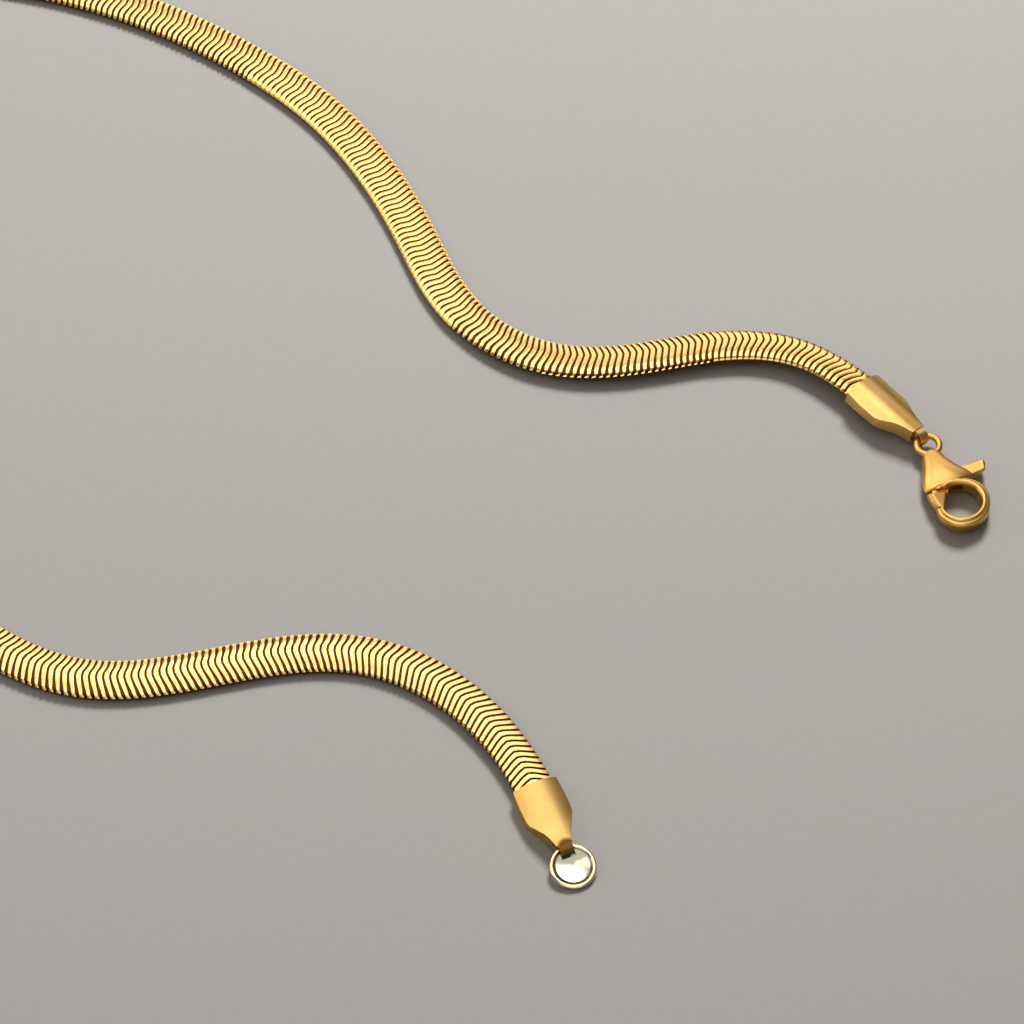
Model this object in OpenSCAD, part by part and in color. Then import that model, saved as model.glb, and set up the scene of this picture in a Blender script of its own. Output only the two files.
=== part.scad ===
// Flat snake chain necklace, lying open and fastened to nothing, with a lobster clasp and an end ring.
// Millimetres, +Z up. It lies on Z = 0, and the origin is under the middle of its box.

/* [Chain] */
// Width of the flat band of links
band_w = 5.2; // [4.8:0.1:5.4]
// How much narrower the band is inside the caps
band_pinch = 0.6; // [0.5:0.05:0.7]
// Thickness of the band
band_t = 1.2; // [1:0.05:1.2]
// How squarely the band's section is rounded
band_square = 3.2; // [2:0.2:5]

/* [End caps] */
// Half the width of a cap over the chain
cap_half_w = 2.65; // [2.65:0.05:2.8]
// Height of a cap at its mouth
cap_h = 2.2; // [2.2:0.05:2.4]
// Wall of a cap
cap_wall = 0.2; // [0.15:0.05:0.2]
// Radius of a cap's crowned top, across its width
cap_crown_r = 5; // [5:0.5:9]
// Slope of a cap's top towards its neck, in degrees
cap_slope = 2.4; // [2:0.1:2.6]
// Thickness of the folded tongue's strip
tongue_t = 0.25; // [0.2:0.01:0.3]
// Lean of the clasp's cap about its length, in degrees
cap_lean = 12; // [11:0.5:13]

/* [Clasp] */
// Thickness of the clasp's body
clasp_t = 2.25; // [2.2:0.05:2.4]
// Radius of the clasp's eye, to the middle of its wire
eye_r = 1.3; // [1.28:0.01:1.32]
// Thickness of the eye's wire
eye_wire = 0.55; // [0.5:0.05:0.6]
// Inner radius of the hook
hook_r = 2.35; // [2.3:0.05:2.4]
// Width of the hook's band
hook_w = 1.1; // [1:0.05:1.2]
// Thickness of the lever
lever_t = 0.8; // [0.6:0.05:0.85]
// Radius of the hinge pin
pin_r = 0.4; // [0.35:0.05:0.45]
// Turn of the clasp against its cap, in degrees
clasp_turn = -28.4; // [-32:0.2:-24]

/* [Ring and tag] */
// Radius of the end ring, to the middle of its wire
ring_r = 2.37; // [2.36:0.01:2.4]
// Thickness of the end ring's wire
ring_wire = 0.5; // [0.45:0.05:0.5]
// Radius of the round polished tag
tag_r = 1.92; // [1.88:0.01:1.93]
// Thickness of the tag at its rim
tag_t = 0.3; // [0.25:0.05:0.35]
// Rise of the tag's domed face
tag_dome = 0.12; // [0.05:0.01:0.15]

/* [Hidden] */
gold = [0.86, 0.66, 0.3];
silver = [0.9, 0.9, 0.88];
round_fn = 96;
over = 1;

// Route of the chain, a smooth curve drawn towards these points.
// Each row: X, Y, height of the middle, lean of the band in degrees.
route = [
    [95, -9.5, 1.4, 12],
    [90.5, -4.5, 1.4, 12],
    [86, 0.5, 1.4, 12],
    [79.5, 5.5, 1, 10],
    [70, 6, 0.86, 10],
    [60, 3, 0.86, 10],
    [48.5, 3, 0.74, 6],
    [38.5, 11, 0.64, 1],
    [34.5, 22.5, 0.61, 0],
    [29.5, 33, 0.6, 0],
    [22.5, 43, 0.6, 0],
    [13.5, 50.5, 0.6, 0],
    [3.5, 57, 0.6, 0],
    [-7.5, 62, 0.6, 0],
    [-19, 65, 0.6, 0],
    [-32, 66.3, 0.6, 0],
    [-46, 65.8, 0.6, 0],
    [-60, 62.5, 0.6, 0],
    [-73.5, 56, 0.6, 0],
    [-86, 47, 0.6, 0],
    [-95.5, 34.5, 0.6, 0],
    [-99.9, 20, 0.6, 0],
    [-98.5, 5.5, 0.6, 0],
    [-92, -7, 0.6, 0],
    [-81, -16, 0.6, 0],
    [-67.5, -20, 0.6, 0],
    [-53, -20, 0.6, 0],
    [-38.5, -20, 0.6, 0],
    [-25.5, -26.5, 0.6, 0],
    [-15.5, -36, 0.6, 0],
    [-3.5, -42.5, 0.6, 0],
    [8.5, -41, 0.6, 0],
    [19, -38, 0.6, 0],
    [29.5, -37.5, 0.6, 0],
    [38.5, -42, 0.6, 0],
    [44.5, -48.5, 0.8, 0],
    [47.9, -54.5, 0.87, 0],
    [50.2, -60, 0.86, 0],
    [52.5, -65.5, 0.86, 0],
];
rings_per_span = 2;
section_sides = 12;

// Rows of the section, from each end, over which the band narrows.
pinch_from = 4;
pinch_to = 2;

// Where each cap's mouth lies: X, Y, heading and lean in degrees.
clasp_cap_at = [87.22, -1.12, -48, cap_lean];
ring_cap_at = [48.51, -55.95, -67.2, 0];

// Cap outline. Each row: distance from the mouth, share of cap_half_w.
cap_outline = [
    [0, 0.98], [2, 1.02], [4.1, 1.01], [4.8, 0.94], [5.6, 0.76], [6.4, 0.58], [7.3, 0.45], [8.4, 0.35],
];
cap_l = 8.4;
cap_hollow_l = 6;
cap_flat_l = 6;
// The clasp's cap is drawn out a little longer than the ring's.
clasp_cap_stretch = 1.09;

// Folded tongues. Each row: inside from and to, underside, height, half width.
clasp_tongue = [9.2, 10.45, -0.2, 1.9, 0.55];
ring_tongue = [7.6, 9.3, 0.45, 1.35, 0.78];

// Clasp, seen from above: X runs from the eye to the hook's end, and the thumb tab is on the +Y side.
eye_at = [11.06, 0.2];
eye_z = clasp_t / 2;
hook_at = [9, 1.2];
pivot_at = [5, 0.9];
pin_gap = 0.05;
pin_end = 0.35;
seat_gap = 0.02;
gate_reach = 5.05;
gate_gap = 0.1;
slot_t = lever_t + 0.2;

// Rounded lumps that the clasp's waist is drawn over. Each row: X, Y, radius, share of half the thickness.
waist = [
    [2.1, -0.05, 1.1, 0.75],
    [4.2, -1, 1.15, 0.9],
    [6.05, -1.7, 0.75, 0.95],
    [4.2, 2.2, 1.1, 0.9],
    [5.9, 3.5, 0.95, 0.9],
];
// Rolled lip along the opening. Each row: X, Y.
lip = [[6.5, -1.95], [6.15, 3.3]];
lip_r = 0.42;
// Section of the hook: an inner band and a lower outer one.
// Each row: share of hook_w, share of half the thickness.
hook_section = [
    [-0.5, 0.3], [-0.45, 0.7], [-0.3, 0.95], [-0.1, 1], [0.05, 0.92], [0.12, 0.68], [0.3, 0.68], [0.43, 0.55],
    [0.5, 0.3],
];
hook_from = -90;
hook_to = 150;
gate_gap_edge = [[6.9, -3], [6.9, 0.5], [10.5, 0.5], [10.5, -3]];
lever_slot = [
    [6.2, 2.2], [7.5, 2.2], [7.5, -2.15], [5.6, -2.15], [3.6, 0.9], [2.1, 4.6], [2.6, 6], [6.4, 6], [6.2, 4],
];
gate_edge = [
    [5.2, 1.9], [6.6, 0.05], [8.3, -0.7], [10.2, -1], [10.2, -1.75], [8.6, -1.95], [6.4, -2], [4.1, 0.4],
];
tab_edge = [[4, 0.9], [4.1, 4], [3.8, 5.5], [4.1, 5.85], [5, 5.6], [5.2, 4], [6, 0.9]];

ring_at = 10.85;
tag_at = 10.73;
tag_slot = [9.12, 9.75];
tag_slot_half_w = 0.84;
tag_loop_z = 1;
tag_loop_x = 9;
tag_lift = 0.01;
tag_steps = 8;
ring_cut_turn = -76;
ring_cut = 0.08;

// Weights of the four points that a span of the route lies between.
function weights(t) =
    [pow(1 - t, 3), 3 * pow(t, 3) - 6 * t * t + 4, -3 * pow(t, 3) + 3 * t * t + 3 * t + 1, pow(t, 3)] / 6;
function span(i, t) = weights(t) * [for (j = [0:3]) route[i + j]];
spans = len(route) - 3;
ring_count = spans * rings_per_span + 1;
function along(k) =
    let (i = min(floor(k / rings_per_span), spans - 1))
    span(i, k / rings_per_span - i);
function place(k) = let (p = along(k)) [p.x, p.y, p.z];
function unit(v) = v / norm(v);
function heading(k) = unit(place(min(k + 0.01, ring_count - 1)) - place(max(k - 0.01, 0)));

// Width of the band, less inside the caps.
function from_end(k) = min(k, ring_count - 1 - k);
function pinch(k) = max(0, min(1, (pinch_from - from_end(k)) / (pinch_from - pinch_to)));
function width(k) = band_w - band_pinch * pinch(k);

// One corner of the band's section: a rounded box, leaned about the route.
function signed_power(v, p) = sign(v) * pow(abs(v), p);
function corner(k, j) =
    let (
        turn = 360 * (j + 0.5) / section_sides,
        across = width(k) / 2 * signed_power(cos(turn), 2 / band_square),
        up = band_t / 2 * signed_power(sin(turn), 2 / band_square),
        side = unit(cross([0, 0, 1], heading(k))),
        top = cross(heading(k), side),
        lean = along(k)[3]
    )
    place(k) + side * (across * cos(lean) - up * sin(lean)) + top * (across * sin(lean) + up * cos(lean));

module chain() {
    points = [for (k = [0:ring_count - 1]) for (j = [0:section_sides - 1]) corner(k, j)];
    function id(k, j) = k * section_sides + j % section_sides;
    sides = [
        for (k = [0:ring_count - 2]) for (j = [0:section_sides - 1]) each [
            [id(k, j), id(k, j + 1), id(k + 1, j + 1)],
            [id(k, j), id(k + 1, j + 1), id(k + 1, j)],
        ]
    ];
    first = [for (j = [0:section_sides - 1]) id(0, section_sides - 1 - j)];
    last = [for (j = [0:section_sides - 1]) id(ring_count - 1, j)];
    color(gold) polyhedron(points, concat(sides, [first, last]));
}

module at(spot) {
    translate([spot.x, spot.y, 0]) rotate([0, 0, spot[2]]) children();
}

// A leaned cap rests on the long edge of its underside.
module leaned(lean) {
    translate([0, 0, cap_half_w * cap_outline[1][1] * sin(lean)]) rotate([-lean, 0, 0]) children();
}

// Upright block with a cap's outline, its half width less by the wall when hollow.
module cap_block(stretch, less, height) {
    upper = [for (p = cap_outline) [p[0] * stretch, p[1] * cap_half_w - less]];
    lower = [for (i = [len(upper) - 1:-1:0]) [upper[i].x, -upper[i].y]];
    linear_extrude(height) polygon(concat(upper, lower));
}

// Long cylinder under the cap's crowned top.
module cap_crown(less) {
    translate([0, 0, cap_h - cap_crown_r])
        rotate([0, 90 + cap_slope, 0])
            translate([0, 0, -over])
                cylinder(r = cap_crown_r - less, h = cap_l * 2, $fn = round_fn * 2);
}

// Side view of a cap: flat under the chain, rising under the neck.
module cap_side(stretch, end_z) {
    end = cap_l * stretch;
    rotate([90, 0, 0])
        linear_extrude(4 * cap_half_w, center = true)
            polygon([[0, 0], [cap_flat_l * stretch, 0], [end, end_z], [end, cap_h], [0, cap_h + over]]);
}

module cap_shell(stretch, end_z) {
    intersection() {
        cap_block(stretch, 0, cap_h + over);
        cap_crown(0);
        cap_side(stretch, end_z);
    }
}

module cap_hollow(stretch) {
    intersection() {
        translate([0, 0, cap_wall]) cap_block(stretch, cap_wall, cap_h);
        cap_crown(cap_wall);
        translate([-over, -cap_half_w, 0]) cube([cap_hollow_l * stretch + over, 2 * cap_half_w, cap_h]);
    }
}

// Bar across the cap with a round end, from one distance to another.
module tongue_bar(from, to, low, height, half_w) {
    translate([from, -half_w, low]) cube([to - from - height / 2, 2 * half_w, height]);
    translate([to - height / 2, half_w, low + height / 2])
        rotate([90, 0, 0])
            cylinder(d = height, h = 2 * half_w, $fn = round_fn);
}

module end_cap(stretch, tongue) {
    low = tongue[2];
    height = tongue[3];
    difference() {
        union() {
            cap_shell(stretch, max(0, low));
            tongue_bar(cap_hollow_l * stretch + over, tongue[1] + tongue_t, low, height, tongue[4]);
        }
        cap_hollow(stretch);
        tongue_bar(tongue[0], tongue[1], low + tongue_t, height - 2 * tongue_t, cap_half_w);
    }
}

module clasp_cap() {
    color(gold) at(clasp_cap_at) leaned(clasp_cap_at[3]) end_cap(clasp_cap_stretch, clasp_tongue);
}

module ring_cap() {
    color(gold) at(ring_cap_at) leaned(ring_cap_at[3]) end_cap(1, ring_tongue);
}

module at_clasp() {
    at(clasp_cap_at) translate([eye_at.x, eye_at.y, 0]) rotate([0, 0, clasp_turn]) children();
}

// Ring of round wire about +Z.
module wire_ring(radius, wire) {
    rotate_extrude($fn = round_fn) translate([radius, 0]) circle(d = wire, $fn = 32);
}

module lump(radius, half_t) {
    resize([2 * radius, 2 * radius, 2 * half_t]) sphere(r = radius, $fn = 32);
}

module clasp_waist() {
    hull()
        for (w = waist)
            translate([w.x, w.y, eye_z]) lump(w[2], w[3] * clasp_t / 2);
    hull()
        for (p = lip)
            translate([p.x, p.y, eye_z]) lump(lip_r, clasp_t / 2);
}

module clasp_hook() {
    upper = [for (p = hook_section) [hook_r + (p[0] + 0.5) * hook_w, p[1] * clasp_t / 2]];
    lower = [for (i = [len(upper) - 1:-1:0]) [upper[i].x, -upper[i].y]];
    translate([hook_at.x, hook_at.y, eye_z])
        rotate([0, 0, hook_from])
            rotate_extrude(angle = hook_to - hook_from, $fn = round_fn)
                polygon(concat(upper, lower));
}

module clasp_body() {
    color(gold) at_clasp()
        difference() {
            union() {
                clasp_waist();
                clasp_hook();
                translate([0, 0, eye_z]) wire_ring(eye_r, eye_wire);
            }
            translate([hook_at.x, hook_at.y, -over])
                cylinder(r = hook_r, h = clasp_t + 2 * over, $fn = round_fn);
            intersection() {
                translate([0, 0, -over]) linear_extrude(clasp_t + 2 * over) polygon(gate_gap_edge);
                translate([pivot_at.x, pivot_at.y, -over])
                    cylinder(r = gate_reach + gate_gap, h = clasp_t + 2 * over, $fn = round_fn);
            }
            translate([0, 0, eye_z - slot_t / 2]) linear_extrude(slot_t) polygon(lever_slot);
            translate([pivot_at.x, pivot_at.y, pin_end - seat_gap])
                cylinder(r = pin_r + seat_gap, h = clasp_t - 2 * pin_end + 2 * seat_gap, $fn = round_fn);
        }
}

module clasp_pin() {
    color(gold) at_clasp()
        translate([pivot_at.x, pivot_at.y, pin_end])
            cylinder(r = pin_r, h = clasp_t - 2 * pin_end, $fn = round_fn);
}

module clasp_lever() {
    color(gold) at_clasp()
        translate([0, 0, eye_z - lever_t / 2])
            difference() {
                union() {
                    translate([pivot_at.x, pivot_at.y, 0]) cylinder(r = 1.1, h = lever_t, $fn = round_fn);
                    linear_extrude(lever_t) polygon(tab_edge);
                    intersection() {
                        linear_extrude(lever_t) polygon(gate_edge);
                        translate([pivot_at.x, pivot_at.y, 0])
                            cylinder(r = gate_reach, h = lever_t, $fn = round_fn);
                    }
                }
                translate([pivot_at.x, pivot_at.y, -over])
                    cylinder(r = pin_r + pin_gap, h = lever_t + 2 * over, $fn = round_fn);
            }
}

// The ring leans from the tongue down to the surface.
ring_far_z = ring_tongue[2] + ring_tongue[3] / 2;
ring_lean = asin((ring_far_z - ring_wire / 2) / (2 * ring_r));

module end_ring() {
    color(gold) at(ring_cap_at)
        translate([ring_at, 0, (ring_far_z + ring_wire / 2) / 2])
            rotate([0, ring_lean, 0])
                difference() {
                    wire_ring(ring_r, ring_wire);
                    rotate([0, 0, ring_cut_turn])
                        translate([0, -ring_cut / 2, -ring_wire])
                            cube([2 * ring_r, ring_cut, 2 * ring_wire]);
                }
}

// The tag hangs on the same tongue by a slot near its rim, and its far rim rests on the surface.
tag_lean = asin((tag_loop_z - tag_t / 2 - tag_lift) / (tag_at + tag_r - tag_loop_x));
tag_z = tag_loop_z - (tag_at - tag_loop_x) * tan(tag_lean);
dome_r = (tag_r * tag_r + tag_dome * tag_dome) / (2 * tag_dome);

// Half of the tag's section: a rim, and a face domed by a circle's arc.
function dome(r) = tag_t / 2 + tag_dome - dome_r + sqrt(dome_r * dome_r - r * r);

module tag_disc() {
    face = [for (i = [0:tag_steps]) let (r = tag_r * (1 - i / tag_steps)) [r, dome(r)]];
    back = [[0, -tag_t / 2], [tag_r, -tag_t / 2]];
    color(silver) at(ring_cap_at)
        translate([tag_at, 0, tag_z])
            rotate([0, tag_lean, 0])
                difference() {
                    rotate_extrude($fn = round_fn) polygon(concat(back, face));
                    translate([tag_slot[0] - tag_at, -tag_slot_half_w, -over])
                        cube([tag_slot[1] - tag_slot[0], 2 * tag_slot_half_w, 2 * over]);
                }
}

chain();
clasp_cap();
ring_cap();
clasp_body();
clasp_pin();
clasp_lever();
end_ring();
tag_disc();
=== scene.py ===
import math

import bmesh
import bpy
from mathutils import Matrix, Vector


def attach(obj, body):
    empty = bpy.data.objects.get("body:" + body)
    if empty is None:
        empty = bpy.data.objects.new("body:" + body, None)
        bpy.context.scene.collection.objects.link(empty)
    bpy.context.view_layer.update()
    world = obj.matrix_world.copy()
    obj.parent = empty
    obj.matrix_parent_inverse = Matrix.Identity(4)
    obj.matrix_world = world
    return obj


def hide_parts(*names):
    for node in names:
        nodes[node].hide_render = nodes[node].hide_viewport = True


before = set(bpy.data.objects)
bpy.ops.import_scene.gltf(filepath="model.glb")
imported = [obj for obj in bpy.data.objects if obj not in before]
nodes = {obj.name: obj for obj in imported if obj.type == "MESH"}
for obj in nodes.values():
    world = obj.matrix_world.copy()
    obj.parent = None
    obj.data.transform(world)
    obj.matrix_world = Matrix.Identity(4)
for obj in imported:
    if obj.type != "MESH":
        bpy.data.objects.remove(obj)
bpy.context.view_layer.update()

# Sizes of the necklace are in mm and turns in degrees; the camera and the lights are in metres
MM = 0.001

# The band's middle line: place, height and lean, as in the part's source
ROUTE = [
    (95, -9.5, 1.4, 12), (90.5, -4.5, 1.4, 12), (86, 0.5, 1.4, 12), (79.5, 5.5, 1, 10),
    (70, 6, 0.86, 10), (60, 3, 0.86, 10), (48.5, 3, 0.74, 6), (38.5, 11, 0.64, 1),
    (34.5, 22.5, 0.61, 0), (29.5, 33, 0.6, 0), (22.5, 43, 0.6, 0), (13.5, 50.5, 0.6, 0),
    (3.5, 57, 0.6, 0), (-7.5, 62, 0.6, 0), (-19, 65, 0.6, 0), (-32, 66.3, 0.6, 0),
    (-46, 65.8, 0.6, 0), (-60, 62.5, 0.6, 0), (-73.5, 56, 0.6, 0), (-86, 47, 0.6, 0),
    (-95.5, 34.5, 0.6, 0), (-99.9, 20, 0.6, 0), (-98.5, 5.5, 0.6, 0), (-92, -7, 0.6, 0),
    (-81, -16, 0.6, 0), (-67.5, -20, 0.6, 0), (-53, -20, 0.6, 0), (-38.5, -20, 0.6, 0),
    (-25.5, -26.5, 0.6, 0), (-15.5, -36, 0.6, 0), (-3.5, -42.5, 0.6, 0), (8.5, -41, 0.6, 0),
    (19, -38, 0.6, 0), (29.5, -37.5, 0.6, 0), (38.5, -42, 0.6, 0), (44.5, -48.5, 0.8, 0),
    (47.9, -54.5, 0.87, 0), (50.2, -60, 0.86, 0), (52.5, -65.5, 0.86, 0),
]
BAND_W = 5.2
BAND_T = 1.2
BAND_SQUARE = 3.2
BAND_L = 432.9


# Small helpers

def mode(name):
    bpy.ops.object.mode_set(mode=name)


def only(obj):
    bpy.ops.object.select_all(action="DESELECT")
    obj.select_set(True)
    bpy.context.view_layer.objects.active = obj


def named(name):
    obj = bpy.context.object
    obj.name = name
    obj.data.name = name
    return obj


def clear_selection():
    if bpy.context.object and bpy.context.object.mode != "OBJECT":
        mode("OBJECT")
    bpy.ops.object.select_all(action="DESELECT")


def apply_modifiers(obj):
    only(obj)
    for modifier in list(obj.modifiers):
        bpy.ops.object.modifier_apply(modifier=modifier.name)


def apply_place(obj):
    only(obj)
    bpy.ops.object.transform_apply(location=True, rotation=True, scale=True)


def join(parts, name):
    clear_selection()
    for part in parts:
        part.select_set(True)
    bpy.context.view_layer.objects.active = parts[0]
    bpy.ops.object.join()
    whole = named(name)
    apply_place(whole)
    return whole


def set_material(obj, material):
    obj.data.materials.clear()
    obj.data.materials.append(material)


# Camera, looking down at 55 degrees as in the photo

CAMERA_AT = (0.046, -0.30255, 0.40638)
CAMERA_TURN = 35

clear_selection()
bpy.ops.object.camera_add(location=CAMERA_AT, rotation=(math.radians(CAMERA_TURN), 0, 0))
camera = named("camera")
camera.data.lens = 150
camera.data.sensor_width = 36
camera.data.clip_start = 0.01
camera.data.dof.use_dof = False
bpy.context.scene.camera = camera


# Shader maths: an expression on values adds its own Math nodes

class Value:
    def __init__(self, paint, socket):
        self.paint = paint
        self.socket = socket

    def math(self, operation, first, second):
        return self.paint.node("ShaderNodeMath", {"operation": operation}, {0: first, 1: second})

    def __add__(self, other):
        return self.math("ADD", self, other)

    def __mul__(self, other):
        return self.math("MULTIPLY", self, other)

    def __sub__(self, other):
        return self.math("SUBTRACT", self, other)

    def __rsub__(self, other):
        return self.math("SUBTRACT", other, self)

    def clamp(self):
        return self.paint.node("ShaderNodeClamp", {}, {0: self})


class Paint:
    def __init__(self, name):
        self.material = bpy.data.materials.new(name)
        self.material.use_nodes = True
        self.tree = self.material.node_tree
        self.shader = self.tree.nodes["Principled BSDF"]

    # Inputs and the output are given by name, or by number where a node repeats its names
    def node(self, kind, settings, inputs, output=0):
        made = self.tree.nodes.new(kind)
        for key, value in settings.items():
            setattr(made, key, value)
        for key, value in inputs.items():
            self.put(made.inputs[key], value)
        return Value(self, made.outputs[output])

    def put(self, socket, value):
        if isinstance(value, Value):
            self.tree.links.new(value.socket, socket)
        elif socket.type == "RGBA":
            socket.default_value = (*value, 1)
        else:
            socket.default_value = value

    def set(self, **sockets):
        for key, value in sockets.items():
            self.put(self.shader.inputs[key.replace("_", " ")], value)

    def place(self):
        return self.node("ShaderNodeTexCoord", {}, {}, "Object")

    def parts(self, vector):
        split = self.node("ShaderNodeSeparateXYZ", {}, {0: vector})
        return [Value(self, socket) for socket in split.socket.node.outputs]

    def from_spot(self, spot):
        x, y, z = self.parts(self.place())
        return x - spot[0] * MM, y - spot[1] * MM

    def noise(self, scale, detail, roughness=0.5):
        return self.node(
            "ShaderNodeTexNoise", {},
            {"Vector": self.place(), "Scale": scale, "Detail": detail, "Roughness": roughness},
        )

    def ramp(self, value, *stops):
        tone = self.node("ShaderNodeValToRGB", {}, {0: value})
        elements = tone.socket.node.color_ramp.elements
        while len(elements) < len(stops):
            elements.new(0.5)
        for element, (place, colour) in zip(elements, stops):
            element.position = place
            element.color = (*colour, 1)
        return tone

    def mix(self, share, low, high):
        return self.node("ShaderNodeMix", {"data_type": "RGBA"}, {0: share, 6: low, 7: high}, 2)

    def bump(self, height, distance, strength):
        return self.node(
            "ShaderNodeBump", {}, {"Height": height, "Distance": distance, "Strength": strength},
        )


GOLD = (0.88, 0.53, 0.13)
PALE_GOLD = (1.0, 0.72, 0.26)
DEEP_GOLD = (0.60, 0.29, 0.06)
# Painted shade for the links, deepest in their gaps and on the walls over the band's edges
PAINTED_SHADE_GOLD = (0.11, 0.035, 0.010)
# Painted highlight for the links, up on their crowns
CROWN_HIGHLIGHT_GOLD = (0.93, 0.61, 0.215)
FOLD_SHADE_GOLD = (0.10, 0.035, 0.008)
# Near-black painted shade for the core between the links
DEEP_GAP_SHADE = (0.035, 0.011, 0.004)
GAP_SHADE = (0.10, 0.034, 0.012)

# The size of a spot of painted shade, in square mm, and how unevenly it ends
FOLD_SHADE_REACH = 1.7
FOLD_SHADE_RAGGED = 2
# What the grain and the cloud add to a piece's roughness on average
MEAN_WEAR = 0.09


def gold(name, roughness, low=DEEP_GOLD, mid=GOLD, high=PALE_GOLD, fold_shade_at=None):
    paint = Paint(name)
    cloud = paint.noise(260, 3)
    grain = paint.noise(2600, 4, 0.6)
    tone = paint.mix(0.22, mid, paint.ramp(cloud, (0.22, low), (0.5, mid), (0.72, high)))
    wear = (grain * 0.08 + cloud * 0.1 + (roughness - MEAN_WEAR)).clamp()
    if fold_shade_at:
        x, y = paint.from_spot(fold_shade_at)
        away = (x * x + y * y) * (1 / MM ** 2)
        fold_shade = (FOLD_SHADE_REACH - away + (cloud - 0.5) * FOLD_SHADE_RAGGED).clamp()
        # Painted shade on the spot, which is also made a little rougher
        tone = paint.mix(fold_shade * 0.9, tone, FOLD_SHADE_GOLD)
        wear = wear + fold_shade * 0.12
    paint.set(
        Base_Color=tone, Roughness=wear, Normal=paint.bump(grain * 0.5 + cloud, 0.000004, 0.25),
    )
    paint.shader.inputs["Metallic"].default_value = 1.0
    return paint.material


# The links carry in their UVs a painted light share for each place, from 0 to 1, rising up their
# crowns

def link_gold():
    paint = Paint("link_gold")
    painted_light = paint.parts(paint.node("ShaderNodeUVMap", {"uv_map": "link"}, {}))[0]
    grain = paint.noise(2400, 4, 0.6)
    cloud = paint.noise(90, 3)
    # Painted light from the UVs: painted shade low on flanks, in gaps and on edge walls, painted
    # highlight on crowns
    shade = paint.ramp(painted_light, (0.0, PAINTED_SHADE_GOLD), (0.3, DEEP_GOLD), (0.6, GOLD), (1.0, CROWN_HIGHLIGHT_GOLD))
    paint.set(
        # Paler patches at random places, only up on the crowns: partly random tone, partly painted
        # highlight
        Base_Color=paint.mix((cloud - 0.35).clamp() * 0.9 * painted_light, shade, PALE_GOLD),
        Roughness=(grain * 0.2 + cloud * 0.1 + 0.08).clamp(),
        Normal=paint.bump(grain, 0.00001, 0.5),
    )
    paint.shader.inputs["Metallic"].default_value = 1.0
    return paint.material


def core_painted_shade():
    paint = Paint("core_painted_shade")
    cloud = paint.noise(900, 3)
    paint.set(
        Base_Color=paint.ramp(cloud, (0.3, DEEP_GAP_SHADE), (0.7, GAP_SHADE)),
        Roughness=(cloud * 0.3 + 0.3).clamp(),
        Normal=paint.bump(cloud, 0.00004, 0.8),
    )
    paint.shader.inputs["Metallic"].default_value = 0.8
    return paint.material


# The band's section, a rounded flat oval, as (across, up) points

def section_at(turn, width, thick, square=BAND_SQUARE):
    c, s = math.cos(turn), math.sin(turn)
    power = 2 / square
    return (
        math.copysign(abs(c) ** power, c) * width / 2,
        math.copysign(abs(s) ** power, s) * thick / 2,
    )


def across_to_up(across):
    share = min(1, abs(across) / (BAND_W / 2))
    return (1 - share ** BAND_SQUARE) ** (1 / BAND_SQUARE) * BAND_T / 2


# The middle line as one smooth curve

def route_curve(name):
    clear_selection()
    bpy.ops.curve.primitive_nurbs_path_add()
    path = named(name)
    path.location = (0, 0, 0)
    data = path.data
    data.splines.clear()
    spline = data.splines.new("NURBS")
    spline.points.add(len(ROUTE) - 1)
    for point, (x, y, z, lean) in zip(spline.points, ROUTE):
        point.co = (x * MM, y * MM, z * MM, 1)
        point.tilt = math.radians(lean)
        point.radius = 1
    spline.order_u = 4
    spline.use_endpoint_u = False
    spline.resolution_u = 16
    data.dimensions = "3D"
    data.twist_mode = "Z_UP"
    return path


# How far each place across a link lies along the band, as the links are first made
LINK_ACROSS = (-2.34, -1.8, -1.2, -0.6, 0.0, 0.6, 1.2, 1.8, 2.34)
RUN_SHAPE = (0.50, 0.40, 0.23, 0.09, 0.0, 0.02, 0.06, 0.04, -0.05)
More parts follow.
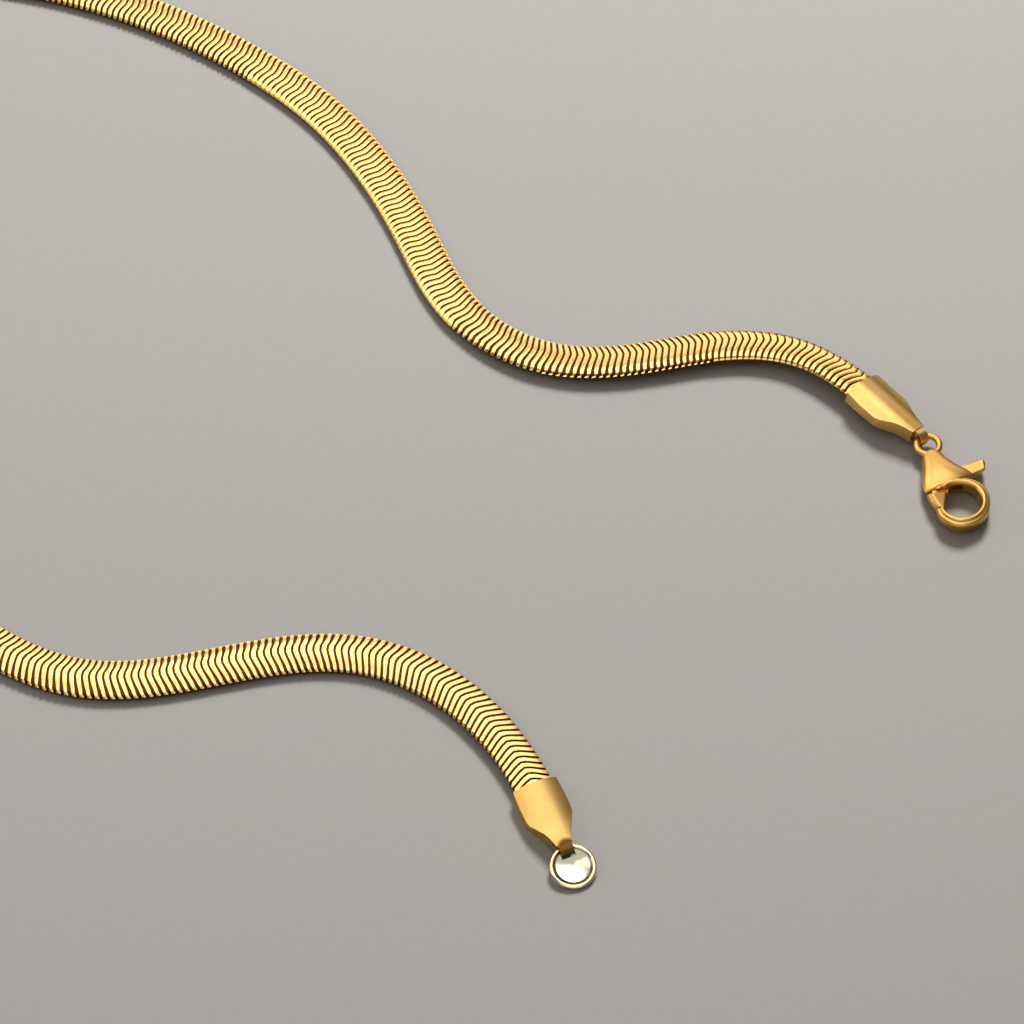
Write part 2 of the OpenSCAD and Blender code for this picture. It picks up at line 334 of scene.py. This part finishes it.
# The same for the places along the band that the finished links are pushed to match
ACROSS_STEPS = (-2.6, -1.95, -1.3, -0.65, 0.0, 0.65, 1.3, 1.95, 2.6)
LINK_SHAPES = (
    (0, (0.30, -0.60, -0.62, -0.26, 0.0, 0.13, 0.19, 0.10, -0.08)),
    (8, (0.36, -0.42, -0.50, -0.22, 0.0, 0.13, 0.20, 0.14, 0.0)),
    (13, (0.44, -0.04, -0.18, -0.16, 0.0, 0.16, 0.34, 0.42, 0.48)),
    (18, (0.48, 0.22, 0.0, -0.14, 0.0, 0.22, 0.46, 0.62, 0.74)),
    (38, (0.44, 0.24, 0.0, -0.16, 0.0, 0.22, 0.40, 0.54, 0.66)),
    (44, (0.46, 0.36, 0.14, -0.03, 0.0, 0.09, 0.20, 0.24, 0.22)),
    (52, (0.54, 0.50, 0.34, 0.10, -0.02, 0.03, 0.12, 0.10, -0.06)),
    (64, (0.64, 0.54, 0.34, 0.11, -0.04, 0.05, 0.14, 0.03, -0.32)),
    (76, (0.60, 0.52, 0.32, 0.10, -0.04, 0.05, 0.14, 0.04, -0.28)),
    (100, (0.52, 0.44, 0.27, 0.06, -0.03, 0.08, 0.18, 0.12, -0.08)),
    (130, (0.52, 0.44, 0.27, 0.06, -0.03, 0.08, 0.18, 0.12, -0.06)),
    (330, (0.54, 0.46, 0.28, 0.10, 0.0, 0.08, 0.18, 0.22, 0.20)),
    (360, (0.78, 0.62, 0.38, 0.17, 0.0, 0.06, 0.38, 0.56, 0.72)),
    (398, (0.64, 0.54, 0.34, 0.15, 0.0, 0.06, 0.36, 0.54, 0.70)),
    (412, (0.86, 0.68, 0.42, 0.18, 0.0, 0.15, 0.44, 0.72, 0.98)),
    (424, (0.94, 0.72, 0.44, 0.18, 0.0, 0.20, 0.56, 0.92, 1.20)),
    (433, (0.96, 0.76, 0.46, 0.20, 0.0, 0.20, 0.56, 0.94, 1.24)),
)


def blend(steps, values, at):
    i = next((i for i, step in enumerate(steps[1:-1]) if at <= step), len(steps) - 2)
    share = (at - steps[i]) / (steps[i + 1] - steps[i])
    share = min(1, max(0, share))
    return values[i] * (1 - share) + values[i + 1] * share


def shape_at(along, across):
    places = [place for place, shape in LINK_SHAPES]
    values = [blend(ACROSS_STEPS, shape, across) for place, shape in LINK_SHAPES]
    return blend(places, values, along)


# One link: a closed hoop of the band's section, crowned along the band
LINK_PITCH = 0.8
LINK_START = 3.4
LINK_END = 429.6
LINK_STEP = (LINK_END - LINK_START) / round((LINK_END - LINK_START) / LINK_PITCH)
LINK_UNDER = (0.0, -BAND_T / 2, 0.3, 0.3, 0.8)
ROWS = 5
RIB_CROWN = 0.04
CROWN_PAINTED_LIGHT = 0.85
# Up to one half width a link is open, and at another it is shut against the next one. From the
# first to the second its flat part widens, its flanks rise, and their painted light comes up: the
# flanks of open links are painted in shade.
RIB_OPEN = 0.32
RIB_SHUT = 0.385
FLAT_OPEN = 0.82
FLAT_SHUT = 0.98
RIB_DEPTH = 0.2
DEPTH_LOST = 0.85
FLANK_PAINTED_LIGHT = 0.8

# How a link's end turns down over the band's edge: across, up, shift, half width, painted light
# (the walls low down painted in shade)
OVER = (
    (2.47, 0.27, 0.03, 0.26, 1.0), (2.59, 0.04, 0.06, 0.24, 0.8), (2.46, -0.44, 0.14, 0.2, 0.1),
)
BEAD = (
    (2.37, 0.04, 0.12, 0.12, 0.6), (2.59, -0.04, 0.24, 0.27, 1.0), (2.46, -0.44, 0.34, 0.2, 0.1),
)
CURL = (
    (2.46, 0.26, 0.05, 0.24, 1.0), (2.59, 0.05, 0.12, 0.28, 1.0), (2.46, -0.44, 0.28, 0.2, 0.1),
)
SEAM = (
    (2.47, 0.26, 0.0, 0.30, 1.0), (2.59, 0.05, 0.0, 0.38, 1.0), (2.46, -0.44, 0.1, 0.3, 0.2),
)
HEM = (
    (2.47, 0.27, 0.0, 0.385, 1.0), (2.59, 0.05, 0.0, 0.385, 1.0), (2.46, -0.44, 0.1, 0.3, 0.2),
)
CORD = (
    (2.37, 0.1, 0.0, 0.12, 0.4), (2.59, 0.1, 0.0, 0.385, 0.3), (2.46, -0.44, 0.1, 0.3, 0.2),
)
# Kinds of edge: half widths of the link from the edge inwards, then its end
EDGES = {
    "open": ((0.26, 0.28, 0.30, 0.31), OVER),
    "near": ((0.25, 0.27, 0.29, 0.31), OVER),
    "bead": ((0.22, 0.27, 0.29, 0.31), BEAD),
    "curl": ((0.20, 0.25, 0.28, 0.31), CURL),
    "seam": ((0.29, 0.29, 0.30, 0.31), SEAM),
    "hem": ((0.385, 0.30, 0.31, 0.32), HEM),
    "cord": ((0.30, 0.29, 0.31, 0.32), CORD),
    "dots": ((0.27, 0.22, 0.31, 0.31), OVER),
    "cells": ((0.17, 0.36, 0.33, 0.32), OVER),
}
# The band's stretches: where each starts, then the kinds of its right and left edge
STRETCHES = (
    (LINK_START, "cells", "seam"), (24.5, "open", "bead"), (44.5, "open", "near"),
    (56, "cord", "hem"), (104, "open", "near"), (250, "near", "open"), (352, "curl", "open"),
    (378, "curl", "dots"), (398, "near", "open"), (LINK_END,),
)


# Points round a link, over its top from right to left and back underneath, as in the ends above

def link_points(right, left):
    (right_half, right_end), (left_half, left_end) = EDGES[right], EDGES[left]
    halves = (*right_half, RIB_OPEN, *reversed(left_half))
    top = [
        (w, across_to_up(w), shift, half, 1)
        for w, shift, half in zip(LINK_ACROSS, RUN_SHAPE, halves)
    ]
    left_side = [(w, up, RUN_SHAPE[-1] + shift, *rest) for w, up, shift, *rest in left_end]
    right_side = [
        (-w, up, RUN_SHAPE[0] + shift, *rest) for w, up, shift, *rest in reversed(right_end)
    ]
    return top + left_side + [LINK_UNDER] + right_side


def make_link(right, left):
    points = link_points(right, left)
    count = len(points)
    clear_selection()
    bpy.ops.mesh.primitive_torus_add(
        major_segments=count, minor_segments=ROWS, major_radius=2 * MM, minor_radius=MM / 2,
        generate_uvs=False,
    )
    link = named("chain_links")
    mode("EDIT")
    mesh = bmesh.from_edit_mesh(link.data)
    mesh.verts.ensure_lookup_table()
    uv = mesh.loops.layers.uv.new("link")
    painted_light = {}
    for i, (w, up, shift, half, edge_painted_light) in enumerate(points):
        before, after = points[i - 1], points[(i + 1) % count]
        along = Vector((after[0] - before[0], after[1] - before[1])).normalized()
        out = Vector((-along.y, along.x))
        shut = max(0, (half - RIB_OPEN) / (RIB_SHUT - RIB_OPEN))
        flat = half * (FLAT_OPEN + (FLAT_SHUT - FLAT_OPEN) * shut)
        deep = RIB_DEPTH * (1 - DEPTH_LOST * shut)
        # Each row's third value is its painted light: crowns painted bright, flanks of open links
        # painted in shade
        profile = (
            (-half, deep, FLANK_PAINTED_LIGHT * shut), (-flat, RIB_CROWN, CROWN_PAINTED_LIGHT), (0, 0, 1),
            (flat, RIB_CROWN, CROWN_PAINTED_LIGHT), (half, deep, FLANK_PAINTED_LIGHT * shut),
        )
        for j, (ahead, sunk, light) in enumerate(profile):
            vert = mesh.verts[i * ROWS + j]
            side = Vector((w, up)) - out * sunk
            vert.co = ((shift + ahead) * MM, side.x * MM, side.y * MM)
            # A place's painted light is its row's painted light times its edge point's
            painted_light[vert] = light * edge_painted_light
    for face in mesh.faces:
        face.smooth = True
        for loop in face.loops:
            loop[uv].uv = (painted_light[loop.vert], 0.5)
    mesh.verts.index_update()
    last = len(LINK_ACROSS) - 1
    tips = (0, last, last + 1, last + 2, count - 2, count - 1)
    for edge in mesh.edges:
        (place, row), (other_place, other_row) = (divmod(vert.index, ROWS) for vert in edge.verts)
        along_crown = row == other_row and row != ROWS // 2
        over_tip = place == other_place and place in tips
        edge.smooth = not (along_crown or over_tip)
    bmesh.ops.recalc_face_normals(mesh, faces=mesh.faces)
    bmesh.update_edit_mesh(link.data)
    mode("OBJECT")
    return link


def make_links():
    runs = []
    for (start, right, left), (end, *kinds) in zip(STRETCHES, STRETCHES[1:]):
        first, last = (round((place - LINK_START) / LINK_STEP) for place in (start, end))
        links = make_link(right, left)
        row = links.modifiers.new("row", "ARRAY")
        row.fit_type = "FIXED_COUNT"
        row.count = last - first
        row.use_relative_offset = False
        row.use_constant_offset = True
        row.constant_offset_displace = (LINK_STEP * MM, 0, 0)
        links.location = ((LINK_START + first * LINK_STEP) * MM, 0, 0)
        apply_modifiers(links)
        runs.append(links)
    return join(runs, "chain_links")


def bend_along(obj, path):
    bend = obj.modifiers.new("bend", "CURVE")
    bend.object = path
    bend.deform_axis = "POS_X"
    apply_modifiers(obj)


# The cage that pushes the links: its steps along, its height and how far it goes past the ends
CAGE_STEPS = 61
CAGE_H = 3
CAGE_OVER = 8
# How much the band narrows into the caps, how far from its ends that starts, over what length
PINCH = 0.6
PINCH_FROM = 24
PINCH_L = 12


def push_links(links):
    clear_selection()
    bpy.ops.object.add(type="LATTICE", location=(BAND_L / 2 * MM, 0, 0))
    cage = bpy.context.object
    data = cage.data
    data.points_u, data.points_v, data.points_w = CAGE_STEPS, len(ACROSS_STEPS), 2
    data.interpolation_type_u = "KEY_LINEAR"
    data.interpolation_type_v = "KEY_LINEAR"
    data.interpolation_type_w = "KEY_LINEAR"
    length = (BAND_L + CAGE_OVER) * MM
    cage.scale = (length, BAND_W * MM, CAGE_H * MM)
    for point in data.points:
        along = (point.co.x * length + BAND_L / 2 * MM) / MM
        across = point.co.y * BAND_W
        shift = shape_at(along, across) - blend(LINK_ACROSS, RUN_SHAPE, across)
        from_end = min(along, BAND_L - along)
        pinch = 1 - PINCH / BAND_W * min(1, max(0, (PINCH_FROM - from_end) / PINCH_L))
        point.co_deform = (
            point.co.x + shift * MM / length, point.co.y * pinch, point.co.z,
        )
    bpy.context.view_layer.update()
    push = links.modifiers.new("push", "LATTICE")
    push.object = cage
    apply_modifiers(links)
    bpy.data.objects.remove(cage)


# The links' insides: a core that closes the gaps between them, coloured near black as painted shade
# in the gaps
CORE_INSET_W = 0.44
CORE_INSET_T = 0.36
CORE_SIDES = 20
CORE_STEPS = 10
# The core's share of its width at the points of the route that the caps hide
CORE_PINCH = 0.86
CAPPED_POINTS = 3


def make_core():
    clear_selection()
    bpy.ops.curve.primitive_bezier_circle_add()
    oval = named("core_section")
    oval.data.splines.clear()
    spline = oval.data.splines.new("POLY")
    spline.points.add(CORE_SIDES - 1)
    for i, point in enumerate(spline.points):
        turn = 2 * math.pi * i / CORE_SIDES
        w, up = section_at(turn, BAND_W - CORE_INSET_W, BAND_T - CORE_INSET_T)
        point.co = (w * MM, up * MM, 0, 1)
    spline.use_cyclic_u = True
    core = route_curve("chain_core")
    core.data.bevel_mode = "OBJECT"
    core.data.bevel_object = oval
    core.data.use_fill_caps = True
    spline = core.data.splines[0]
    spline.resolution_u = CORE_STEPS
    for point in (*spline.points[:CAPPED_POINTS], *spline.points[-CAPPED_POINTS:]):
        point.radius = CORE_PINCH
    only(core)
    bpy.ops.object.convert(target="MESH")
    core = bpy.context.object
    bpy.data.objects.remove(oval)
    bpy.ops.object.shade_smooth()
    return core


path = route_curve("middle_line")
links = make_links()
push_links(links)
bend_along(links, path)
bpy.data.objects.remove(path)
core = make_core()

set_material(links, link_gold())
set_material(core, core_painted_shade())
for piece in (links, core):
    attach(piece, "necklace")
    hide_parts("chain")


# The clasp, cast and softly polished. Its own plane: X from the eye to the hook's end, tab on +Y

CLASP_AT = (94.77, -9.205)
CLASP_TURN = -76.4
CLASP_MID = 1.125
EYE_R = 1.35
EYE_WIRE = 0.8
HOOK_AT = (9, 1.2)
HOOK_R = 2.35
HOOK_W = 1.1
PIVOT_AT = (5, 0.9)
PIN_R = 0.4

# The waist, as rounded sections from the eye to the opening: X, middle Y, half width, half height
WAIST = (
    (0.75, 0.0, 0.02, 0.02), (0.85, 0.0, 0.7, 0.42), (1.3, 0.02, 1.12, 0.56),
    (2.1, 0.05, 1.42, 0.72), (3.1, 0.22, 1.86, 0.92), (4.1, 0.45, 2.46, 1.07),
    (4.9, 0.66, 2.94, 1.12), (5.5, 0.8, 3.2, 1.12), (5.95, 0.87, 3.26, 1.1),
    (6.2, 0.87, 3.16, 1.04), (6.3, 0.87, 3.0, 0.8), (6.32, 0.87, 0.02, 0.02),
)
WAIST_SQUARE = 1.9
WAIST_SLANT = 0.15

# The hook's section, an inner band and a lower outer one: share of its width, share of its height
HOOK_SECTION = (
    (-0.5, 0.3), (-0.45, 0.7), (-0.3, 0.94), (-0.1, 0.98), (0.06, 0.9), (0.14, 0.68),
    (0.3, 0.68), (0.43, 0.55), (0.5, 0.3),
)
HOOK_STEPS = 72
# Where the hook swells outwards or draws in: turn about its middle, spread
SHOULDER = (115, 28)
CHIN = (338, 16)
TIP = (258, 30)
SHOULDER_RISE = 0.22
CHIN_RISE = 0.12
TIP_DROP = 0.3
TIP_THIN = 0.25

# What is cut out of the cast body: the lever's slot, the pin's hole and the gap for the gate
LEVER_SLOT = (
    (6.2, 2.2), (7.5, 2.2), (7.5, -1.7), (6.2, -1.7), (3.6, 0.9), (2.1, 4.6), (2.6, 6),
    (6.4, 6), (6.2, 4),
)
SLOT_HALF = 0.5
HOLE_R = PIN_R + 0.02
HOLE_HALF = 0.78
GATE_GAP = ((6.74, -3), (6.74, 0.5), (10.5, 0.5), (10.5, -3))
GATE_REACH = 5.15
REACH_HALF = 2.5
# Half height of what cuts right through the clasp
THROUGH_HALF = 2

# The lever: a hub and a root within the slot, the gate's wall and stop, and the thumb tab.
# Lumps are X, Y, radius and half height.
LEVER_HALF = 0.39
LEVER_HOLE_R = PIN_R + 0.05
HUB_R = 1.1
GATE_ROOT = (
    (4.6, 1.6), (6.3, 0.95), (6.72, 0.4), (7.15, 0.1), (7.2, -1.6), (6.5, -1.6), (4.1, 0.4),
)
GATE_WALL = (
    (7.35, -0.15, 0.2, 0.64), (8.5, -0.65, 0.2, 0.74), (9.42, -1.0, 0.18, 0.8),
    (7.3, -1.7, 0.25, 0.9), (8.4, -1.6, 0.25, 0.88), (9.2, -1.42, 0.2, 0.84),
    (7.15, -2.05, 0.25, 0.55), (8.2, -1.9, 0.25, 0.5), (9.02, -1.66, 0.22, 0.46),
)
GATE_STOP = ((6.95, 0.2, 0.14, 0.72), (7.35, 0.1, 0.14, 0.72))
TAB = (
    (3.9, 0.9), (3.9, 3.8), (3.6, 5.25), (3.8, 5.65), (4.3, 5.7), (5.1, 5.3), (5.35, 4.2), (6, 0.9),
)
TAB_EASE = 0.15
TAB_END = ((3.85, 5.4, 0.3, 0.52), (4.8, 5.3, 0.24, 0.46))

CAST_VOXEL = 0.05
SHELL_ROUNDS = 9
LEVER_ROUNDS = 12
CREASE = 50


def lump(x, y, radius, half_height):
    clear_selection()
    bpy.ops.mesh.primitive_uv_sphere_add(
        segments=28, ring_count=14, radius=1, location=(x * MM, y * MM, CLASP_MID * MM),
        scale=(radius * MM, radius * MM, half_height * MM),
    )
    return bpy.context.object


def post(at, radius, half_height):
    clear_selection()
    bpy.ops.mesh.primitive_cylinder_add(
        vertices=64, radius=radius * MM, depth=2 * half_height * MM,
        location=(at[0] * MM, at[1] * MM, CLASP_MID * MM),
    )
    return bpy.context.object


def plate(outline, half_height):
    clear_selection()
    bpy.ops.mesh.primitive_circle_add(vertices=len(outline), radius=MM, fill_type="NGON")
    sheet = bpy.context.object
    mode("EDIT")
    mesh = bmesh.from_edit_mesh(sheet.data)
    mesh.verts.ensure_lookup_table()
    for vert, (x, y) in zip(mesh.verts, outline):
        vert.co = (x * MM, y * MM, (CLASP_MID - half_height) * MM)
    bmesh.update_edit_mesh(sheet.data)
    bpy.ops.mesh.select_all(action="SELECT")
    bpy.ops.mesh.extrude_region_move(
        TRANSFORM_OT_translate={"value": (0, 0, 2 * half_height * MM)}
    )
    bpy.ops.mesh.select_all(action="SELECT")
    bpy.ops.mesh.normals_make_consistent(inside=False)
    mode("OBJECT")
    return sheet


def eased(part, width):
    ease = part.modifiers.new("ease", "BEVEL")
    ease.width = width * MM
    ease.segments = 4
    ease.limit_method = "ANGLE"
    apply_modifiers(part)
    return part


def hull_over(lumps, name):
    whole = join([lump(*row) for row in lumps], name)
    mode("EDIT")
    bpy.ops.mesh.select_all(action="SELECT")
    bpy.ops.mesh.convex_hull()
    mode("OBJECT")
    return whole


def waist_form():
    rings = len(WAIST) - 1
    clear_selection()
    bpy.ops.mesh.primitive_uv_sphere_add(segments=48, ring_count=rings, radius=1)
    form = bpy.context.object
    mode("EDIT")
    mesh = bmesh.from_edit_mesh(form.data)
    for vert in mesh.verts:
        step = math.acos(max(-1, min(1, vert.co.z))) / math.pi * rings
        x, y, half_w, half_h = WAIST[round(step)]
        turn = math.atan2(vert.co.y, vert.co.x)
        side, up = section_at(turn, 2 * half_w, 2 * half_h, WAIST_SQUARE)
        slant = WAIST_SLANT * side * (x / WAIST[-1][0]) ** 3
        vert.co = ((x - slant) * MM, (y + side) * MM, (CLASP_MID + up) * MM)
    bmesh.ops.recalc_face_normals(mesh, faces=mesh.faces)
    bmesh.update_edit_mesh(form.data)
    mode("OBJECT")
    soften = form.modifiers.new("soften", "SUBSURF")
    soften.levels = soften.render_levels = 2
    apply_modifiers(form)
    return form


def swell(turn, middle, spread):
    return math.exp(-((math.degrees(turn) - middle) / spread) ** 2)


def hook_ring():
    upper = [(HOOK_R + (a + 0.5) * HOOK_W, b * CLASP_MID) for a, b in HOOK_SECTION]
    section = upper + [(r, -z) for r, z in reversed(upper)]
    clear_selection()
    bpy.ops.mesh.primitive_torus_add(
        major_segments=HOOK_STEPS, minor_segments=len(section), major_radius=3 * MM,
        minor_radius=MM / 2, generate_uvs=False,
    )
    ring = bpy.context.object
    mode("EDIT")
    mesh = bmesh.from_edit_mesh(ring.data)
    mesh.verts.ensure_lookup_table()
    for i in range(HOOK_STEPS):
        turn = 2 * math.pi * i / HOOK_STEPS
        rise = SHOULDER_RISE * swell(turn, *SHOULDER) + CHIN_RISE * swell(turn, *CHIN)
        tip = swell(turn, *TIP)
        for j, (r, z) in enumerate(section):
            share = (r - HOOK_R) / HOOK_W
            r = r + rise * share - tip * (TIP_DROP + TIP_THIN * share)
            mesh.verts[i * len(section) + j].co = (
                (HOOK_AT[0] + r * math.cos(turn)) * MM,
                (HOOK_AT[1] + r * math.sin(turn)) * MM,
                (CLASP_MID + z) * MM,
            )
    bmesh.ops.recalc_face_normals(mesh, faces=mesh.faces)
    bmesh.update_edit_mesh(ring.data)
    mode("OBJECT")
    return ring


def eye_loop():
    clear_selection()
    bpy.ops.mesh.primitive_torus_add(
        major_segments=56, minor_segments=20, major_radius=EYE_R * MM,
        minor_radius=EYE_WIRE / 2 * MM, location=(0, 0, CLASP_MID * MM), generate_uvs=False,
    )
    return bpy.context.object


def cast(whole, rounds):
    melt = whole.modifiers.new("melt", "REMESH")
    melt.mode = "VOXEL"
    melt.voxel_size = CAST_VOXEL * MM
    soften = whole.modifiers.new("soften", "SMOOTH")
    soften.factor = 0.5
    soften.iterations = rounds
    apply_modifiers(whole)


def cut(whole, tool, operation="DIFFERENCE"):
    meet = whole.modifiers.new("cut", "BOOLEAN")
    meet.operation = operation
    meet.solver = "EXACT"
    meet.object = tool
    apply_modifiers(whole)
    bpy.data.objects.remove(tool)
    return whole


def put_on_clasp(whole):
    whole.rotation_euler = (0, 0, math.radians(CLASP_TURN))
    whole.location = (CLASP_AT[0] * MM, CLASP_AT[1] * MM, 0)
    apply_place(whole)
    bpy.ops.object.shade_smooth_by_angle(angle=math.radians(CREASE))


clasp_shell = join([waist_form(), hook_ring(), eye_loop()], "clasp_shell")
cast(clasp_shell, SHELL_ROUNDS)
cut(clasp_shell, plate(LEVER_SLOT, SLOT_HALF))
cut(clasp_shell, post(PIVOT_AT, HOLE_R, HOLE_HALF))
gap = cut(plate(GATE_GAP, THROUGH_HALF), post(PIVOT_AT, GATE_REACH, REACH_HALF), "INTERSECT")
cut(clasp_shell, gap)
put_on_clasp(clasp_shell)

lever_dress = join([
    post(PIVOT_AT, HUB_R, LEVER_HALF), plate(GATE_ROOT, LEVER_HALF),
    hull_over(GATE_WALL, "gate_wall"), hull_over(GATE_STOP, "gate_stop"),
    eased(plate(TAB, LEVER_HALF), TAB_EASE), hull_over(TAB_END, "tab_end"),
], "lever_dress")
cast(lever_dress, LEVER_ROUNDS)
cut(lever_dress, post(PIVOT_AT, LEVER_HOLE_R, THROUGH_HALF))
put_on_clasp(lever_dress)

clasp_gold = gold("clasp_gold", 0.35, mid=(0.69, 0.395, 0.11))
for piece, node, body in (
    (clasp_shell, "clasp_body", "necklace"), (lever_dress, "clasp_lever", "lever"),
):
    set_material(piece, clasp_gold)
    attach(piece, body)
    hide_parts(node)


# The tag's finish: polished white metal with a painted reflection, half of it painted bright as if
# catching the light and the rest darker, with an uneven border
TAG_AT = (52.67, -65.84)
TAG_REFLECTION_BRIGHT = (0.80, 0.74, 0.56)
TAG_REFLECTION_DARK = (0.38, 0.355, 0.26)
BORDER_SLOPE = 0.55
BORDER_WAVE = 0.0022
BORDER_SHIFT = 0.0002
BORDER_SHARP = 3500


def tag_white():
    paint = Paint("tag_white")
    cloud = paint.noise(700, 1)
    x, y = paint.from_spot(TAG_AT)
    above = x * BORDER_SLOPE - y + (cloud - 0.5) * BORDER_WAVE + BORDER_SHIFT
    paint.set(
        # Painted reflection: bright on one side of the wavy border, dark on the other
        Base_Color=paint.mix((above * BORDER_SHARP + 0.5).clamp(), TAG_REFLECTION_DARK, TAG_REFLECTION_BRIGHT),
        Roughness=(cloud * 0.1 + 0.06).clamp(),
        Normal=paint.bump(cloud, 0.00005, 0.5),
    )
    paint.shader.inputs["Metallic"].default_value = 0.8
    paint.shader.inputs["Coat Weight"].default_value = 0.5
    return paint.material


# Finishes of the carried-over parts. The ring's cap has painted shade where its neck meets the
# tongue, where the folded tongue lies in shade.
FOLD_SHADE_AT = (52.1, -64.15)

set_material(nodes["clasp_cap"], gold("cap_gold", 0.31, mid=(0.76, 0.46, 0.14)))
set_material(
    nodes["ring_cap"], gold("ring_cap_gold", 0.4, mid=(0.68, 0.42, 0.125), fold_shade_at=FOLD_SHADE_AT)
)
set_material(nodes["clasp_pin"], clasp_gold)
set_material(
    nodes["end_ring"],
    gold("ring_gold", 0.18, low=GOLD, mid=(0.96, 0.77, 0.50), high=(1.0, 0.86, 0.64)),
)
set_material(nodes["tag_disc"], tag_white())


# Floor and soft studio light

def floor_paper():
    paint = Paint("floor_paper")
    speckle = paint.noise(900, 3)
    low, high = (0.305, 0.295, 0.285), (0.315, 0.305, 0.295)
    paint.set(Base_Color=paint.ramp(speckle, (0.3, low), (0.7, high)))
    paint.shader.inputs["Roughness"].default_value = 0.6
    return paint.material


clear_selection()
bpy.ops.mesh.primitive_plane_add(size=4)
floor = named("floor")
set_material(floor, floor_paper())

AIM = (0.02, -0.01, 0)
WHITE = (1, 1, 1)
# Each lamp: place, size, power, tint, whether it lights and whether the gold mirrors it
LAMPS = (
    ("key_light", (0.16, 0.52, 0.42), (0.2, 0.15), 8.6, (1, 0.98, 0.95), True, False),
    ("sky_panel", (-0.06, 0.26, 0.8), (1.0, 0.8), 2.1, WHITE, False, True),
    ("glint_panel", (0.0, 0.44, 0.62), (0.45, 0.22), 0.54, WHITE, False, True),
    ("far_panel", (-0.02, 0.68, 0.31), (0.9, 0.36), 1.45, WHITE, False, True),
    ("near_panel", (0.0, -0.12, 0.8), (0.7, 0.3), 1.3, WHITE, False, True),
    ("left_panel", (-0.46, 0.4, 0.5), (0.35, 0.3), 0.9, WHITE, False, True),
    ("front_panel", (0.0, -0.6, 0.3), (1.0, 0.42), 1.3, WHITE, False, True),
    ("side_light", (-0.6, 0.0, 0.27), (0.45, 0.7), 1.4, (1, 0.97, 0.92), True, True),
    ("fill_light", (0.0, 0.1, 0.9), (1.2, 1.0), 1.6, WHITE, False, True),
    ("shade_fill", (0.0, 0.1, 0.9), (1.2, 1.0), 0.7, WHITE, True, False),
)

for name, at, size, power, tint, lights, mirrored in LAMPS:
    clear_selection()
    bpy.ops.object.light_add(type="AREA", location=at)
    lamp = named(name)
    lamp.data.shape = "RECTANGLE"
    lamp.data.size, lamp.data.size_y = size
    lamp.data.energy = power
    lamp.data.color = tint
    way = Vector(AIM) - Vector(at)
    lamp.rotation_euler = way.to_track_quat("-Z", "Y").to_euler()
    lamp.visible_diffuse = lights
    lamp.visible_glossy = mirrored

world = bpy.context.scene.world or bpy.data.worlds.new("studio")
bpy.context.scene.world = world
world.use_nodes = True
backdrop = world.node_tree.nodes["Background"]
backdrop.inputs["Color"].default_value = (1.0, 0.9, 0.8, 1)
backdrop.inputs["Strength"].default_value = 0.14
bpy.context.scene.view_settings.view_transform = "Standard"
